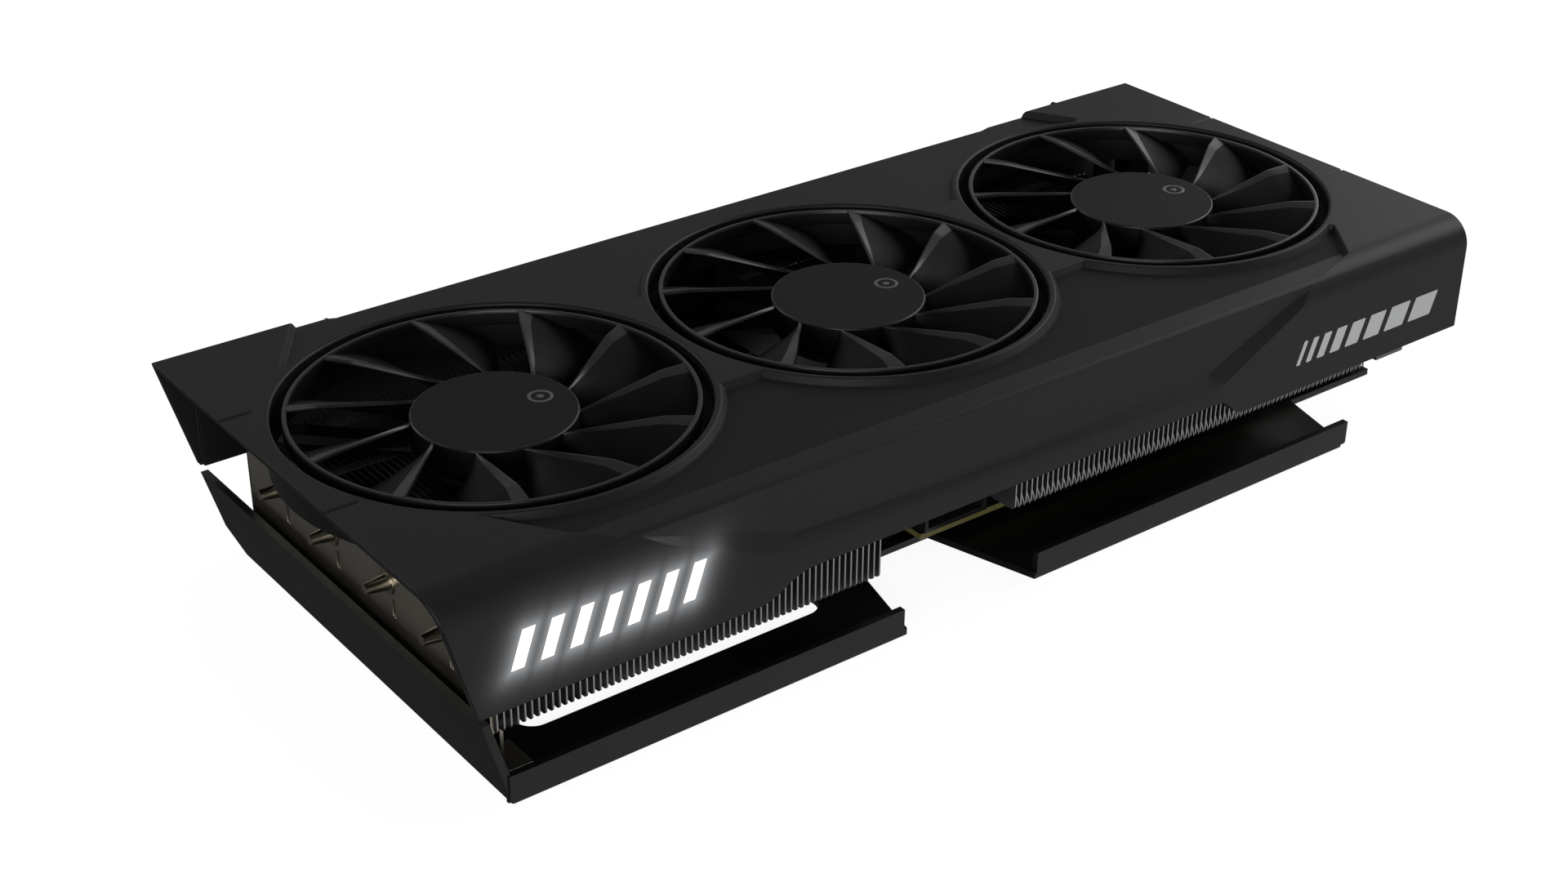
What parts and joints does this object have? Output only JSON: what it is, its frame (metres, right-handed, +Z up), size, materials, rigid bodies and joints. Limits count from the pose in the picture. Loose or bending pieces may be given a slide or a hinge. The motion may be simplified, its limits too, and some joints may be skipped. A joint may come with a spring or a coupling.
{
  "type": "graphics card",
  "caption": "Long desktop graphics card: a row of cooling fans in a faceted shroud over finned heatsinks and heat pipes, with a backplate, card-edge connector and slot bracket.",
  "frame": {"origin": "on the resting plane, the underside of the backplate, directly below the middle fan's axis", "axes": "+X along the card towards the bracket end, +Y across it towards the card-edge connector, +Z up, out of the fan side"},
  "size_m": [0.3319, 0.1446, 0.0558],
  "materials": {
    "shroud_plastic": "moulded black plastic with a fine satin grain",
    "fan_plastic": "moulded black plastic, satin",
    "cap_plastic": "flat printed disc, satin",
    "light_plastic": "frosted clear, lit from behind",
    "light_board": "white solder mask",
    "ferrite": "sintered",
    "shaft_steel": "ground",
    "base_plastic": "moulded black plastic",
    "bronze": "sintered bronze",
    "copper_winding": "enamelled copper wire",
    "black_screw": "black zinc",
    "fin_aluminium": "bare sheet",
    "nickel_plate": "warm nickel-plated sheet",
    "pipe_nickel": "nickel-plated copper",
    "plate_nickel": "nickel-plated copper, machined",
    "frame_aluminium": "black anodised",
    "board_laminate": "black solder mask, olive cut edge",
    "package_laminate": "green laminate",
    "silicon": "polished",
    "chip_epoxy": "moulded epoxy",
    "thermal_pad": "soft",
    "choke_ferrite": "pressed powder",
    "can_aluminium": "drawn can",
    "socket_plastic": "moulded black",
    "contact_gold": "gold flash",
    "port_steel": "nickel-plated shell",
    "bracket_steel": "dark nickel",
    "backplate_metal": "black painted sheet",
    "spring_steel": "rolled"
  },
  "bodies": {
    "card": {"shroud": "shroud_plastic", "light_guide": "light_plastic", "light_board": "light_board", "motor_base_left": "base_plastic", "sleeve_bearing_left": "bronze", "stator_left": "copper_winding", "motor_base_middle": "base_plastic", "sleeve_bearing_middle": "bronze", "stator_middle": "copper_winding", "motor_base_right": "base_plastic", "sleeve_bearing_right": "bronze", "stator_right": "copper_winding", "fan_screws": "black_screw", "left_fin_stack": "fin_aluminium", "right_fin_stack": "fin_aluminium", "fin_end_plate": "nickel_plate", "heat_pipe_1": "pipe_nickel", "heat_pipe_2": "pipe_nickel", "heat_pipe_3": "pipe_nickel", "heat_pipe_4": "pipe_nickel", "cold_plate": "plate_nickel", "cooler_frame": "frame_aluminium", "circuit_board": "board_laminate", "gpu_package": "package_laminate", "gpu_die": "silicon", "memory_chips": "chip_epoxy", "thermal_pads": "thermal_pad", "power_chokes": "choke_ferrite", "power_stages": "chip_epoxy", "capacitors": "can_aluminium", "power_socket": "socket_plastic", "power_pins": "contact_gold", "displayport_sockets": "port_steel", "hdmi_socket": "port_steel", "io_bracket": "bracket_steel", "bracket_screws": "black_screw", "backplate": "backplate_metal", "backplate_screws": "black_screw", "retention_spring": "spring_steel", "retention_screws": "black_screw"},
    "left_fan": {"fan_rotor_left": "fan_plastic", "hub_cap_left": "cap_plastic", "magnet_ring_left": "ferrite", "fan_shaft_left": "shaft_steel"},
    "middle_fan": {"fan_rotor_middle": "fan_plastic", "hub_cap_middle": "cap_plastic", "magnet_ring_middle": "ferrite", "fan_shaft_middle": "shaft_steel"},
    "right_fan": {"fan_rotor_right": "fan_plastic", "hub_cap_right": "cap_plastic", "magnet_ring_right": "ferrite", "fan_shaft_right": "shaft_steel"}
  },
  "joints": [
    {"name": "left_fan_spin", "type": "hinge", "parent": "card", "child": "left_fan", "pos_m": [-0.1044, 0, 0.0527], "axis": [0, 0, 1], "continuous": true},
    {"name": "middle_fan_spin", "type": "hinge", "parent": "card", "child": "middle_fan", "pos_m": [0, 0, 0.0527], "axis": [0, 0, 1], "continuous": true},
    {"name": "right_fan_spin", "type": "hinge", "parent": "card", "child": "right_fan", "pos_m": [0.1044, 0, 0.0527], "axis": [0, 0, 1], "continuous": true}
  ]
}
